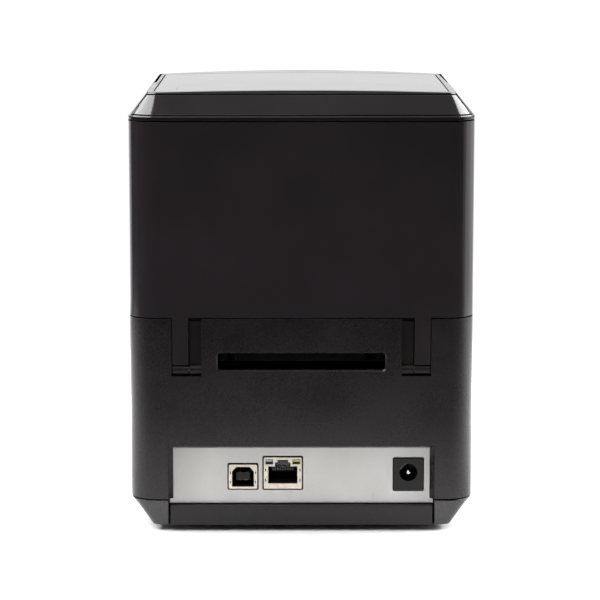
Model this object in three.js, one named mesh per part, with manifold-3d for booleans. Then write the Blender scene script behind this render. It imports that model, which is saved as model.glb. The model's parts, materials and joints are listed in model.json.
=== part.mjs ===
// Desktop thermal label printer as the loose pieces of a real one: a clamshell case with its
// base and lid, the socket plate and board, the roll bay with its media guides, the platen
// drive, and the sprung printhead under the lid.
//
// Millimetres, +Z up. The front faces -Y and the wall with the sockets faces +Y. The origin is
// on the surface the feet stand on, under the middle of the case.

import * as THREE from "three";
import { mergeVertices } from "three/addons/utils/BufferGeometryUtils.js";
import Module from "manifold-3d";

const wasm = await Module();
wasm.setup();

// ---------------------------------------------------------------- driving dimensions

// Case
const WIDTH = 141;
const DEPTH = 212;
const SIDE = WIDTH / 2;
const REAR = DEPTH / 2;
const FRONT = -REAR;
const WALL = 2.5;
const CORNER = 11; // radius of the upright corners, seen from above
const FIT = 0.3; // gap between pieces that touch
const FAR = 300; // longer than any piece, for cutting tools

// Heights of the case's seams
const BODY_BOTTOM = 2.5;
const TRAY_TOP = 13.2;
const SPLIT = 89; // between base and lid
const SEAM = 0.25; // half of a seam's width
const CROWN_EDGE = 169.3; // between the lid's walls and its crown
const HIP_START = 170.9;
const ROOF = 180.2; // height of the roof's edges
const ROOF_CROWN = 0.8; // extra height of the roof's middle
const HIP_SET_IN = 7.6; // sideways run of the hip
const HOOD_CROWN = 9.6; // extra height of the sloping hood's middle
const HOOD_BREAK = -12; // where the roof turns down into the hood
const HOOD_ANGLE = 38; // degrees below level
const HEIGHT_LIMIT = ROOF + ROOF_CROWN + 3; // where the lid's cutting forms end
const CORNER_TOP = 1.4; // radius of the corners at that height

// Hinge of the lid, in the two notches of the rear wall
const HINGE_Y = REAR - 2.3;
const HINGE_Z = 67.6;
const KNUCKLE = 2.3;
const HINGE_PIN = 1.0;
const NOTCH = { inner: 41, post: 46, outer: 53, bottom: 65 };

// Rear wall openings
const SLOT = { half: 34.2, bottom: 67.5, top: 74.4, flare: 0.7 };
const PANEL = { half: 54.7, innerHalf: 52.8, top: 35.6, bottom: 10.9 };

// Roll bay
const ROLL_Y = 32;
const ROLL_Z = 104;
const CRADLE = 62; // radius of the bay's floor
const DECK = 85.5; // top of the deck around the bay
const SHEET = 2.5;

// Drive train: platen, idler and motor pinion, all turning about X
const MODULE = 1;
const PLATEN = { y: -84, z: 82, teeth: 20, radius: 8, half: 32 };
const IDLER = { teeth: 24, angle: -70 };
const MOTOR = { teeth: 10, angle: -100, size: 35 };
const MESH_SLACK = 0.15; // added to each centre distance
const GEAR_X = [-46, -41];

// Guide drive
const PINION_TEETH = 12;
const RACK_Z = [33.5, 37.5];

// ---------------------------------------------------------------- colours

const finish = (color, roughness, metalness = 0) =>
  new THREE.MeshStandardMaterial({ color, roughness, metalness });

const BLACK_SHELL = finish(0x1d1b1c, 0.42);
const BLACK_GLOSS = finish(0x141416, 0.12);
const DARK_PLASTIC = finish(0x232427, 0.6);
const GREY_PLASTIC = finish(0x4a4d52, 0.55);
const SMOKED = finish(0x2a2a30, 0.08);
const ZINC = finish(0xb9bbbd, 0.38, 1);
const STEEL = finish(0xc4c6c9, 0.28, 1);
const BOARD = finish(0x1d5a34, 0.5);
const NYLON = finish(0xe6e2d6, 0.5);
const RUBBER = finish(0x1a1a1b, 0.85);
const PLATEN_RUBBER = finish(0x37383b, 0.8);
const CERAMIC = finish(0x8d8f93, 0.3, 0.6);
const ALUMINIUM = finish(0xa9acb0, 0.35, 1);
const CLEAR_LENS = finish(0xdfe6e2, 0.15);
const YELLOW_LENS = finish(0xa8a03a, 0.2);

// ---------------------------------------------------------------- solids from three.js shapes

// A manifold solid of any closed three.js geometry.
function solid(geometry) {
  const bare = geometry.clone();
  bare.deleteAttribute("normal");
  bare.deleteAttribute("uv");
  const merged = mergeVertices(bare, 1e-4);
  return new wasm.Manifold(
    new wasm.Mesh({
      numProp: 3,
      vertProperties: new Float32Array(merged.attributes.position.array),
      triVerts: new Uint32Array(merged.index.array),
    }),
  );
}

// A three.js geometry of a manifold solid.
function geometryOf(body) {
  const mesh = body.getMesh();
  const geometry = new THREE.BufferGeometry();
  geometry.setAttribute("position", new THREE.BufferAttribute(mesh.vertProperties, 3));
  geometry.setIndex(new THREE.BufferAttribute(mesh.triVerts, 1));
  return geometry;
}

const radians = THREE.MathUtils.degToRad;
const union = (first, ...rest) => rest.reduce((sum, body) => sum.add(body), first);
const cut = (first, ...rest) => rest.reduce((left, body) => left.subtract(body), first);

// A box between two limits on each axis.
function block([x0, x1], [y0, y1], [z0, z1]) {
  const geometry = new THREE.BoxGeometry(x1 - x0, y1 - y0, z1 - z0);
  geometry.translate((x0 + x1) / 2, (y0 + y1) / 2, (z0 + z1) / 2);
  return solid(geometry);
}

// Cylinders along each axis.
function rodX(radius, [x0, x1], y, z, sides = 24) {
  const geometry = new THREE.CylinderGeometry(radius, radius, x1 - x0, sides);
  geometry.rotateZ(Math.PI / 2);
  geometry.translate((x0 + x1) / 2, y, z);
  return solid(geometry);
}

function rodY(radius, x, [y0, y1], z, sides = 24) {
  const geometry = new THREE.CylinderGeometry(radius, radius, y1 - y0, sides);
  geometry.translate(x, (y0 + y1) / 2, z);
  return solid(geometry);
}

function rodZ(radius, x, y, [z0, z1], sides = 24) {
  const geometry = new THREE.CylinderGeometry(radius, radius, z1 - z0, sides);
  geometry.rotateX(Math.PI / 2);
  geometry.translate(x, y, (z0 + z1) / 2);
  return solid(geometry);
}

// Outlines are lists of [a, b] points that run anticlockwise.
function arc(a, b, radius, fromDegrees, toDegrees, steps) {
  const points = [];
  for (let i = 0; i <= steps; i += 1) {
    const angle = radians(fromDegrees + ((toDegrees - fromDegrees) * i) / steps);
    points.push([a + radius * Math.cos(angle), b + radius * Math.sin(angle)]);
  }
  return points;
}

function roundedRect([a0, a1], [b0, b1], radius, steps = 4) {
  return [
    ...arc(a1 - radius, b1 - radius, radius, 0, 90, steps),
    ...arc(a0 + radius, b1 - radius, radius, 90, 180, steps),
    ...arc(a0 + radius, b0 + radius, radius, 180, 270, steps),
    ...arc(a1 - radius, b0 + radius, radius, 270, 360, steps),
  ];
}

function extruded(outline, depth) {
  const shape = new THREE.Shape(outline.map(([a, b]) => new THREE.Vector2(a, b)));
  return new THREE.ExtrudeGeometry(shape, { depth, bevelEnabled: false });
}

// An outline in the YZ plane, extruded along X.
function prismX(outline, [x0, x1]) {
  const geometry = extruded(outline, x1 - x0);
  const axes = [new THREE.Vector3(0, 1, 0), new THREE.Vector3(0, 0, 1), new THREE.Vector3(1, 0, 0)];
  geometry.applyMatrix4(new THREE.Matrix4().makeBasis(...axes));
  geometry.translate(x0, 0, 0);
  return solid(geometry);
}

// An outline in the XZ plane, extruded along Y, then turned about X and moved.
function prismY(outline, [y0, y1], turn = 0, [y, z] = [0, 0]) {
  const geometry = extruded(outline, y1 - y0);
  geometry.rotateX(Math.PI / 2);
  geometry.translate(0, y1, 0);
  geometry.rotateX(radians(turn));
  geometry.translate(0, y, z);
  return solid(geometry);
}

// An outline in the XY plane, extruded along Z.
function prismZ(outline, [z0, z1]) {
  const geometry = extruded(outline, z1 - z0);
  geometry.translate(0, 0, z0);
  return solid(geometry);
}

// A closed form through convex outlines of equal length, each at its own level of one axis.
// place(a, b, level) gives the 3-D point.
function loft(rings, place) {
  const count = rings[0][0].length;
  const corners = rings.flatMap(([outline, level]) => outline.map(([a, b]) => place(a, b, level)));
  const faces = [];
  for (let ring = 0; ring < rings.length - 1; ring += 1) {
    for (let i = 0; i < count; i += 1) {
      const here = ring * count + i;
      const next = ring * count + ((i + 1) % count);
      faces.push(here, next, count + next, here, count + next, count + here);
    }
  }
  const last = (rings.length - 1) * count;
  for (let i = 1; i < count - 1; i += 1) {
    faces.push(0, i + 1, i, last, last + i, last + i + 1);
  }
  const geometry = new THREE.BufferGeometry();
  geometry.setAttribute("position", new THREE.BufferAttribute(new Float32Array(corners.flat()), 3));
  geometry.setIndex(faces);
  return solid(geometry);
}

const upwards = (a, b, level) => [a, b, level];

// A convex outline with every edge moved inwards.
function shrink(outline, distance) {
  return outline.map((point, i) => {
    const before = outline.at(i - 1);
    const after = outline[(i + 1) % outline.length];
    const inward = (from, to) => {
      const length = Math.hypot(to[0] - from[0], to[1] - from[1]);
      return [-(to[1] - from[1]) / length, (to[0] - from[0]) / length];
    };
    const [na, nb] = inward(before, point);
    const [ma, mb] = inward(point, after);
    const reach = distance / (1 + na * ma + nb * mb);
    return [point[0] + (na + ma) * reach, point[1] + (nb + mb) * reach];
  });
}

// ---------------------------------------------------------------- scene graph

const printer = new THREE.Group();

function assembly(parent = printer) {
  const group = new THREE.Group();
  parent.add(group);
  return group;
}

function piece(parent, name, body, material, position = [0, 0, 0]) {
  const mesh = new THREE.Mesh(geometryOf(body), material);
  mesh.name = name;
  mesh.position.set(...position);
  parent.add(mesh);
  return mesh;
}

const SIDES = [
  ["left", 1],
  ["right", -1],
];

// A pair of limits along X, mirrored for the right-hand side.
const onSide = (sx, from, to) => (sx > 0 ? [from, to] : [-to, -from]);

// ---------------------------------------------------------------- case forms

// The case seen from above, set in by a distance.
const casePlan = (setIn) =>
  roundedRect(
    [-SIDE + setIn, SIDE - setIn],
    [FRONT + setIn, REAR - setIn],
    Math.max(CORNER - setIn, 0.8),
    8,
  );

// Points along a shallow crown of a height, from one edge to the other. It is 0 at the roof's edges.
function crownCurve(height, reach) {
  const steps = 12;
  const points = [];
  for (let i = 0; i <= steps; i += 1) {
    const across = reach * (1 - (2 * i) / steps);
    const along = across / (SIDE - HIP_SET_IN);
    points.push([across, height * (1 - along * along)]);
  }
  return points;
}

// Cross-sections of the lid's top, with the roof's edges at 0.
const roofSection = (crown) => [[-SIDE, -FAR], [SIDE, -FAR], ...crownCurve(crown, SIDE)];

function hoodSection(crown) {
  const hip = ROOF - HIP_START;
  const sides = [[-SIDE, -hip], [-SIDE, -FAR], [SIDE, -FAR], [SIDE, -hip]];
  return [...sides, ...crownCurve(crown, SIDE - HIP_SET_IN)];
}

// The lid's walls with the chamfer above them, set in by a distance. The upright corners run
// on into cones, so the chamfer turns the corner smoothly. The front has no chamfer.
function lidBlock(setIn, bottom) {
  const rise = HEIGHT_LIMIT - HIP_START;
  const sideways = HIP_SET_IN / (ROOF - HIP_START);
  const bend = HIP_START - 0.37 * setIn;
  const half = SIDE - rise * sideways - Math.hypot(1, sideways) * setIn;
  const rear = REAR - rise - Math.SQRT2 * setIn;
  const top = roundedRect([-half, half], [FRONT + setIn, rear], Math.max(CORNER_TOP - setIn, 0.5), 8);
  const plan = casePlan(setIn);
  return loft([[plan, bottom], [plan, bend], [top, HEIGHT_LIMIT]], upwards);
}

// The lid's outer form from a bottom level up, set in by a distance.
function lidForm(setIn, bottom) {
  const roof = prismY(shrink(roofSection(ROOF_CROWN), setIn), [-FAR, FAR], 0, [0, ROOF]);
  const slope = shrink(hoodSection(HOOD_CROWN), setIn);
  const hood = prismY(slope, [-FAR, FAR], HOOD_ANGLE, [HOOD_BREAK, ROOF]);
  return lidBlock(setIn, bottom).intersect(roof).intersect(hood);
}

const LID_BOTTOM = SPLIT + SEAM;

// Everything above the seam between the lid's walls and its crown, which follows the roof
// and then runs down beside the hood.
function aboveCrownEdge(offset) {
  const slope = Math.tan(radians(HOOD_ANGLE));
  const depth = ROOF - CROWN_EDGE;
  const breakY = HOOD_BREAK + depth * Math.tan(radians(HOOD_ANGLE / 2));
  const level = CROWN_EDGE + offset;
  const past = breakY - FRONT + 10;
  return prismX(
    [
      [FRONT - 10, level - past * slope],
      [breakY, level],
      [REAR + 10, level],
      [REAR + 10, FAR],
      [FRONT - 10, FAR],
    ],
    [-SIDE - 1, SIDE + 1],
  );
}

// ---------------------------------------------------------------- feet and bottom case

const caseBase = assembly();
const FOOT = { x: 46, y: 82, radius: 7, height: 3.2, recess: 1 };
const SCREW = { x: 56, y: 62, head: 3, shank: 1.5, bore: 1.8, headTop: 4, tip: 24 };
const CORNERS = [
  ["rear_left", 1, 1],
  ["rear_right", -1, 1],
  ["front_left", 1, -1],
  ["front_right", -1, -1],
];

const BAND_HALF = 54;

// The board stands on four posts of the bottom case.
const BOARD_BOTTOM = 14.8;
const BOARD_TOP = 16.4;
const BOARD_HOLES = [
  [46, 38],
  [-46, 38],
  [36, 88],
  [-30, 88],
];

// The tray seen from above, set in by one distance at its sides and another at front and rear.
const trayPlan = (sideways, endways, radius) =>
  roundedRect(
    [-SIDE + sideways, SIDE - sideways],
    [FRONT + endways, REAR - endways],
    radius,
    8,
  );

// A shallow tray whose sides lean in below a narrow lip, with a flat band under the sockets.
function bottomCase() {
  const top = TRAY_TOP - SEAM;
  const shell = loft(
    [
      [trayPlan(9.2, 1, 3), BODY_BOTTOM],
      [trayPlan(3.2, 0.3, 6), top - 2.6],
      [casePlan(0), top],
    ],
    upwards,
  );
  const hollow = loft(
    [
      [trayPlan(9.8, 4.5, 3), BODY_BOTTOM + 3],
      [casePlan(WALL), top + 0.1],
    ],
    upwards,
  );
  const band = block([-BAND_HALF, BAND_HALF], [85, REAR], [BODY_BOTTOM, PANEL.bottom]);
  const bandHollow = block([-51.5, 51.5], [60, REAR - 4.5], [BODY_BOTTOM + 3, FAR]);
  const panelGap = block([-PANEL.half, PANEL.half], [85, REAR + 1], [PANEL.bottom, FAR]);
  let tray = cut(union(shell, band), hollow, bandHollow, panelGap);
  for (const [, sx] of SIDES) {
    const across = onSide(sx, BAND_HALF, PANEL.half);
    tray = tray.subtract(block(across, [REAR - 2, REAR + 1], [0, PANEL.bottom + 1]));
  }
  for (const [, sx, sy] of CORNERS) {
    const x = sx * SCREW.x;
    const y = sy * SCREW.y;
    tray = tray.add(rodZ(4, x, y, [BODY_BOTTOM + 1, top], 16));
    tray = tray.subtract(rodZ(SCREW.bore, x, y, [0, FAR], 12));
    tray = tray.subtract(rodZ(SCREW.head + FIT, x, y, [0, SCREW.headTop + FIT], 16));
    const recess = [0, BODY_BOTTOM + FOOT.recess];
    tray = tray.subtract(rodZ(FOOT.radius + FIT, sx * FOOT.x, sy * FOOT.y, recess));
  }
  for (const [x, y] of BOARD_HOLES) {
    tray = tray.add(rodZ(3, x, y, [BODY_BOTTOM + 1, BOARD_BOTTOM - FIT], 12));
  }
  return tray;
}

piece(caseBase, "bottom_case", bottomCase(), BLACK_SHELL);

for (const [place, sx, sy] of CORNERS) {
  const foot = rodZ(FOOT.radius, 0, 0, [0, FOOT.height]);
  piece(caseBase, `foot_${place}`, foot, RUBBER, [sx * FOOT.x, sy * FOOT.y, 0]);
  const screw = union(
    rodZ(SCREW.head, 0, 0, [BODY_BOTTOM + 0.2, SCREW.headTop], 16),
    rodZ(SCREW.shank, 0, 0, [SCREW.headTop - 0.2, SCREW.tip], 12),
  );
  piece(caseBase, `case_screw_${place}`, screw, STEEL, [sx * SCREW.x, sy * SCREW.y, 0]);
}

// ---------------------------------------------------------------- base shell

const BEZEL = { half: 50, bottom: 24, top: 78, face: FRONT + 0.8, back: FRONT + 3.4 };
const LATCH = { y: -70, halfLength: 10, bottom: 62, top: 74 };
const MOUTH = { half: 31, bottom: 85, top: 93 };

function baseShell() {
  const outer = prismZ(casePlan(0), [TRAY_TOP + SEAM, SPLIT - SEAM]);
  const inner = prismZ(casePlan(WALL), [0, FAR]);
  let shell = outer.subtract(inner);
  for (const [, sx] of SIDES) {
    const across = onSide(sx, NOTCH.inner, NOTCH.outer);
    const postSpan = onSide(sx, NOTCH.inner - 1, NOTCH.post - FIT / 2);
    shell = shell.subtract(block(across, [REAR - 10, REAR + 1], [NOTCH.bottom, FAR]));
    const post = block(postSpan, [REAR - 5, REAR - 2], [60, SPLIT - SEAM]);
    const rib = block(postSpan, [REAR - 5, REAR - 1.2], [86.2, 87.6]);
    const knuckle = rodX(KNUCKLE, postSpan, HINGE_Y, HINGE_Z, 20);
    const bore = rodX(HINGE_PIN + FIT, onSide(sx, NOTCH.inner, NOTCH.post + 1), HINGE_Y, HINGE_Z, 12);
    shell = cut(union(shell, post, rib, knuckle), bore);
    const window = block(
      onSide(sx, SIDE - 5, SIDE + 1),
      [LATCH.y - LATCH.halfLength, LATCH.y + LATCH.halfLength],
      [LATCH.bottom - FIT, LATCH.top + FIT],
    );
    shell = shell.subtract(window);
  }
  for (const [, sx, sy] of CORNERS) {
    const boss = rodZ(3.5, sx * SCREW.x, sy * SCREW.y, [TRAY_TOP + SEAM, 27], 16);
    const web = block(
      onSide(sx, SCREW.x, SIDE - 1),
      [sy * SCREW.y - 1, sy * SCREW.y + 1],
      [TRAY_TOP + SEAM, 27],
    );
    const bore = rodZ(SCREW.bore, sx * SCREW.x, sy * SCREW.y, [0, SCREW.tip + 0.5], 12);
    shell = cut(union(shell, boss, web), bore);
  }
  const upright = (a, b, level) => [a, -level, b];
  const mouthOf = (half, top) => [
    [-half, 0],
    [half, 0],
    [half, top],
    [-half, top],
  ];
  const panelMouth = loft(
    [
      [mouthOf(PANEL.half, PANEL.top), -REAR - 0.01],
      [mouthOf(PANEL.innerHalf, PANEL.top - 1.1), -(REAR - WALL - 0.01)],
    ],
    upright,
  );
  const slotOutline = (grow) =>
    roundedRect([-SLOT.half - grow, SLOT.half + grow], [SLOT.bottom - grow, SLOT.top + grow], 1.2 + grow);
  const slot = prismY(slotOutline(0), [REAR - 10, REAR + 1]);
  const flare = loft(
    [
      [slotOutline(SLOT.flare + 0.1), -REAR - 0.1],
      [slotOutline(0), -REAR + SLOT.flare],
    ],
    upright,
  );
  const bezelGap = prismY(
    roundedRect([-BEZEL.half, BEZEL.half], [BEZEL.bottom, BEZEL.top], 5),
    [FRONT - 1, FRONT + 10],
  );
  const mouth = block([-MOUTH.half, MOUTH.half], [FRONT - 1, FRONT + 5], [MOUTH.bottom, FAR]);
  return cut(shell, panelMouth, slot, flare, bezelGap, mouth);
}

piece(caseBase, "base_shell", baseShell(), BLACK_SHELL);

// ---------------------------------------------------------------- socket plate, sockets and board

const sockets = assembly();
const PLATE = { face: REAR - 2.8, back: REAR - 4, half: 54.4, bottom: PANEL.bottom + FIT, top: 38 };
const SOCKET_FACE = REAR - 2.1;
const USB = { x: 24.1, z: 22.5, half: [6, 5.2], hole: [6.35, 5.6] };
const ETHERNET = { x: 7.7, z: 24, half: [7.95, 6.7], hole: [8.33, 7.15] };
const POWER = { x: -44.1, z: 23.4, half: [6.1, 6.75], hole: [6.4, 7.05], boreZ: 24.2, bore: 3.65 };

const around = (socket, [a, b]) => [
  [socket.x - a, socket.x + a],
  [socket.z - b, socket.z + b],
];

function socketBlock(socket, size, [y0, y1]) {
  const [xs, zs] = around(socket, size);
  return block(xs, [y0, y1], zs);
}

function ioPlate() {
  const plate = block([-PLATE.half, PLATE.half], [PLATE.back, PLATE.face], [PLATE.bottom, PLATE.top]);
  const holes = [USB, ETHERNET, POWER].map((socket) => {
    const [xs, zs] = around(socket, socket.hole);
    return prismY(roundedRect(xs, zs, 0.6, 3), [PLATE.back - 1, PLATE.face + 1]);
  });
  return cut(plate, ...holes);
}

// A square socket mouth whose two upper corners are cut off.
function usbMouth() {
  const [half, low, high, bevel] = [4.48, USB.z - 4.15, USB.z + 4.15, 0.6];
  const [shoulder, crown] = [USB.z + 2.2, 2.65];
  const outline = [
    [USB.x - half + bevel, low],
    [USB.x + half - bevel, low],
    [USB.x + half, low + bevel],
    [USB.x + half, shoulder],
    [USB.x + crown, high],
    [USB.x - crown, high],
    [USB.x - half, shoulder],
    [USB.x - half, low + bevel],
  ];
  return prismY(outline, [SOCKET_FACE - 12, SOCKET_FACE + 1]);
}

// The jack's cavity, with its keyway at the top and pockets for the two indicator windows.
function ethernetCavity() {
  const [x, z] = [ETHERNET.x, ETHERNET.z];
  const ys = [SOCKET_FACE - 12, SOCKET_FACE + 1];
  return union(
    block([x - 6, x + 6], ys, [z - 4.3, z + 2.85]),
    block([x - 3.2, x + 3.2], ys, [z + 2.8, z + 4.5]),
    block([x - 2.2, x + 2.2], ys, [z + 4.4, z + 5.6]),
  );
}

const windowSpan = (side) => {
  const middle = ETHERNET.x + side * 5.55;
  return [
    [middle - 1.4, middle + 1.4],
    [ETHERNET.z + 3.9, ETHERNET.z + 5.7],
  ];
};

function ethernetShell() {
  const shell = socketBlock(ETHERNET, ETHERNET.half, [REAR - 19, SOCKET_FACE]);
  const pockets = SIDES.map(([, side]) => {
    const [[x0, x1], [z0, z1]] = windowSpan(side);
    return block([x0 - FIT, x1 + FIT], [SOCKET_FACE - 2, SOCKET_FACE + 1], [z0 - FIT, z1 + FIT]);
  });
  return cut(shell, ethernetCavity(), ...pockets);
}

function powerJack() {
  const body = socketBlock(POWER, POWER.half, [REAR - 17, SOCKET_FACE]);
  return cut(body, rodY(POWER.bore, POWER.x, [REAR - 14, REAR], POWER.boreZ));
}

piece(sockets, "io_plate", ioPlate(), ZINC);
const usbShell = cut(socketBlock(USB, USB.half, [REAR - 18, SOCKET_FACE]), usbMouth());
piece(sockets, "usb_socket_shell", usbShell, STEEL);
piece(
  sockets,
  "usb_socket_tongue",
  block([USB.x - 2.85, USB.x + 2.85], [SOCKET_FACE - 11.7, SOCKET_FACE - 1], [USB.z - 1.6, USB.z + 1.6]),
  DARK_PLASTIC,
);
piece(sockets, "ethernet_socket", ethernetShell(), STEEL);
for (const [place, side] of SIDES) {
  const [xs, zs] = windowSpan(side);
  const lens = block(xs, [SOCKET_FACE - 1.7, SOCKET_FACE - 0.1], zs);
  piece(sockets, `ethernet_window_${place}`, lens, side > 0 ? CLEAR_LENS : YELLOW_LENS);
}
piece(sockets, "power_socket_body", powerJack(), DARK_PLASTIC);
piece(
  sockets,
  "power_socket_pin",
  rodY(1, POWER.x, [REAR - 13.7, SOCKET_FACE - 1], POWER.boreZ, 12),
  STEEL,
);

function mainBoard() {
  let board = block([-52, 52], [30, REAR - 4.6], [BOARD_BOTTOM, BOARD_TOP]);
  for (const [x, y] of BOARD_HOLES) {
    board = board.subtract(rodZ(1.6, x, y, [0, FAR], 12));
  }
  return board;
}

piece(sockets, "main_board", mainBoard(), BOARD);
piece(sockets, "processor", block([-9, 9], [48, 66], [BOARD_TOP + FIT, BOARD_TOP + 3]), DARK_PLASTIC);

// ---------------------------------------------------------------- inner chassis

const bay = assembly();
const CHASSIS = { half: 65.5, front: -58, rear: 99 };
const GUIDE_TRAVEL = { inward: 12, outward: 2.4 };
const GUIDE_FACE = 28.6; // the guide's inner face from the middle, at rest
const GUIDE_THICK = 3.5;
const STEM = { near: 8.3, far: 11.7 };

// The run of the bent sheet: front deck, round cradle, rear deck.
function chassisRun(depth) {
  const level = DECK - depth;
  const radius = CRADLE + depth;
  const reach = THREE.MathUtils.radToDeg(Math.acos((ROLL_Z - level) / radius));
  return [
    [CHASSIS.front, level],
    ...arc(ROLL_Y, ROLL_Z, radius, -90 - reach, -90 + reach, 12),
    [CHASSIS.rear, level],
  ];
}

function innerChassis() {
  const sheet = prismX([...chassisRun(SHEET), ...chassisRun(0).reverse()], [-CHASSIS.half, CHASSIS.half]);
  const cheekOutline = chassisRun(SHEET / 2).slice(1, -1);
  const cheek = (xs) => prismX(cheekOutline, xs);
  const slots = SIDES.map(([, sx]) => {
    const start = GUIDE_FACE - GUIDE_TRAVEL.inward - 0.6;
    const end = GUIDE_FACE + GUIDE_THICK + GUIDE_TRAVEL.outward + 0.6;
    const ys = sx > 0 ? [ROLL_Y + 8, ROLL_Y + 12] : [ROLL_Y - 12, ROLL_Y - 8];
    return block(onSide(sx, start, end), ys, [20, 60]);
  });
  const throat = block([-SLOT.half, SLOT.half], [60, REAR + 1], [SLOT.bottom, SLOT.top]);
  const cheeks = SIDES.map(([, sx]) => cheek(onSide(sx, CHASSIS.half - 2, CHASSIS.half)));
  return cut(union(sheet, ...cheeks), ...slots, throat);
}

piece(bay, "inner_chassis", innerChassis(), DARK_PLASTIC);

const SENSOR = { y: -48, railTop: 87.4 };
piece(
  bay,
  "sensor_rail",
  block([-34, 34], [SENSOR.y - 2, SENSOR.y + 2], [DECK + FIT, SENSOR.railTop]),
  STEEL,
);
const sensorBody = block([-6, 6], [SENSOR.y - 5, SENSOR.y + 5], [DECK + FIT, 89.6]);
const sensorChannel = block([-7, 7], [SENSOR.y - 2.3, SENSOR.y + 2.3], [0, SENSOR.railTop + FIT]);
piece(bay, "gap_sensor", sensorBody.subtract(sensorChannel), GREY_PLASTIC);

// ---------------------------------------------------------------- media guides and their pinion

const TOOTH = { tip: 0.8, root: 1.2, tipWidth: 0.2, rootWidth: 0.62 }; // widths as parts of half a pitch

// Outline of a gear with straight-sided teeth, centred on the origin, with a tooth at phase.
function gearOutline(teeth, phase = 0) {
  const pitchRadius = (MODULE * teeth) / 2;
  const half = Math.PI / teeth;
  const root = pitchRadius - TOOTH.root * MODULE;
  const tip = pitchRadius + TOOTH.tip * MODULE;
  const points = [];
  for (let i = 0; i < teeth; i += 1) {
    const middle = phase + 2 * half * i;
    const corners = [
      [root, -TOOTH.rootWidth],
      [tip, -TOOTH.tipWidth],
      [tip, TOOTH.tipWidth],
      [root, TOOTH.rootWidth],
    ];
    for (const [radius, offset] of corners) {
      const angle = middle + offset * half;
      points.push([radius * Math.cos(angle), radius * Math.sin(angle)]);
    }
  }
  return points;
}

// Outline of a rack whose teeth point to -Y, with a gap at x = 0, in the pinion's own frame.
function rackOutline([x0, x1], toothedTo, pitchLine, back) {
  const pitch = Math.PI * MODULE;
  const root = pitchLine + TOOTH.root * MODULE;
  const tip = pitchLine - TOOTH.tip * MODULE;
  const points = [[x0, back], [x0, root]];
  for (let middle = pitch * (Math.ceil(x0 / pitch) + 0.5); middle < toothedTo; middle += pitch) {
    points.push([middle - (TOOTH.rootWidth * pitch) / 2, root]);
    points.push([middle - (TOOTH.tipWidth * pitch) / 2, tip]);
    points.push([middle + (TOOTH.tipWidth * pitch) / 2, tip]);
    points.push([middle + (TOOTH.rootWidth * pitch) / 2, root]);
  }
  points.push([x1, root], [x1, back]);
  return points;
}

const GUIDE_OUTER = GUIDE_FACE + GUIDE_THICK;
const pinionRadius = (MODULE * PINION_TEETH) / 2;

// One guide in the pinion's frame: a paddle beside the roll, a stem through the slot, a rack.
function mediaGuide() {
  const reach = 13.5;
  const paddle = prismX(
    [...arc(0, ROLL_Z, CRADLE - 1, -90 - reach, -90 + reach, 4), ...arc(0, ROLL_Z, 14, 0, 180, 8)],
    [GUIDE_FACE, GUIDE_OUTER],
  );
  const stem = block([GUIDE_FACE, GUIDE_OUTER], [STEM.near, STEM.far], [RACK_Z[0], 50]);
  const rack = prismZ(rackOutline([-6, GUIDE_OUTER], 26, pinionRadius + MESH_SLACK, STEM.far), RACK_Z);
  const hole = rodX(3, [GUIDE_FACE - 1, GUIDE_OUTER + 1], 0, ROLL_Z, 12);
  return cut(union(paddle, stem, rack), hole);
}

function coreHolder() {
  const [inner, outer] = [GUIDE_FACE - 6.3, GUIDE_FACE - FIT];
  const cup = rodX(12.4, [inner, outer], 0, ROLL_Z, 28);
  return cup.subtract(rodX(9.5, [inner - 1, inner + 4], 0, ROLL_Z, 28));
}

for (const [place, sx] of SIDES) {
  const guide = assembly(bay);
  guide.position.set(0, ROLL_Y, 0);
  guide.rotation.z = sx > 0 ? 0 : Math.PI;
  piece(guide, `media_guide_${place}`, mediaGuide(), GREY_PLASTIC);
  piece(guide, `core_holder_${place}`, coreHolder(), GREY_PLASTIC);
}

const pinion = prismZ(gearOutline(PINION_TEETH, Math.PI / 2), RACK_Z);
const pinionBore = rodZ(2.3, 0, 0, [0, FAR], 16);
piece(bay, "guide_pinion", pinion.subtract(pinionBore), NYLON, [0, ROLL_Y, 0]);
piece(
  bay,
  "pinion_post",
  union(rodZ(2, 0, 0, [32, 38.8], 16), rodZ(3.4, 0, 0, [31.4, 33.1], 16)),
  STEEL,
  [0, ROLL_Y, 0],
);

// ---------------------------------------------------------------- platen and drive train

const drive = assembly();

// Centre of the next wheel in the train, in the YZ plane.
function nextCentre(from, fromTeeth, toTeeth, degrees) {
  const distance = (MODULE * (fromTeeth + toTeeth)) / 2 + MESH_SLACK;
  return {
    y: from.y + distance * Math.cos(radians(degrees)),
    z: from.z + distance * Math.sin(radians(degrees)),
  };
}

const idlerCentre = nextCentre(PLATEN, PLATEN.teeth, IDLER.teeth, IDLER.angle);
const motorCentre = nextCentre(idlerCentre, IDLER.teeth, MOTOR.teeth, MOTOR.angle);

// Tooth phases that put the three wheels in mesh.
const platenPhase = radians(IDLER.angle);
const idlerPhase = platenPhase + Math.PI + Math.PI / IDLER.teeth;
const idlerPitch = (2 * Math.PI) / IDLER.teeth;
const lead = (((radians(MOTOR.angle) - idlerPhase) % idlerPitch) + idlerPitch) % idlerPitch;
const motorLead = (lead * IDLER.teeth + Math.PI) / MOTOR.teeth;
const motorPhase = radians(MOTOR.angle) + Math.PI + motorLead;

const FRAME_X = [35, 37.5];
const FRAME_Y = [-98, -68];

function platenFrame() {
  const [near, far] = FRAME_X;
  const [y0, y1] = FRAME_Y;
  const left = block([near, far], [y0, y1], [63, 89]);
  const right = block([-far, -near], [y0, y1], [26, 89]);
  const bridge = block([-near - 0.5, near + 0.5], [y0, y1], [63, 65.5]);
  return cut(
    union(left, right, bridge),
    rodX(6.3, [-FAR, FAR], PLATEN.y, PLATEN.z),
    rodX(2.3, [-FAR, 0], idlerCentre.y, idlerCentre.z, 16),
    rodX(4, [-FAR, 0], motorCentre.y, motorCentre.z, 16),
  );
}

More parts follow.
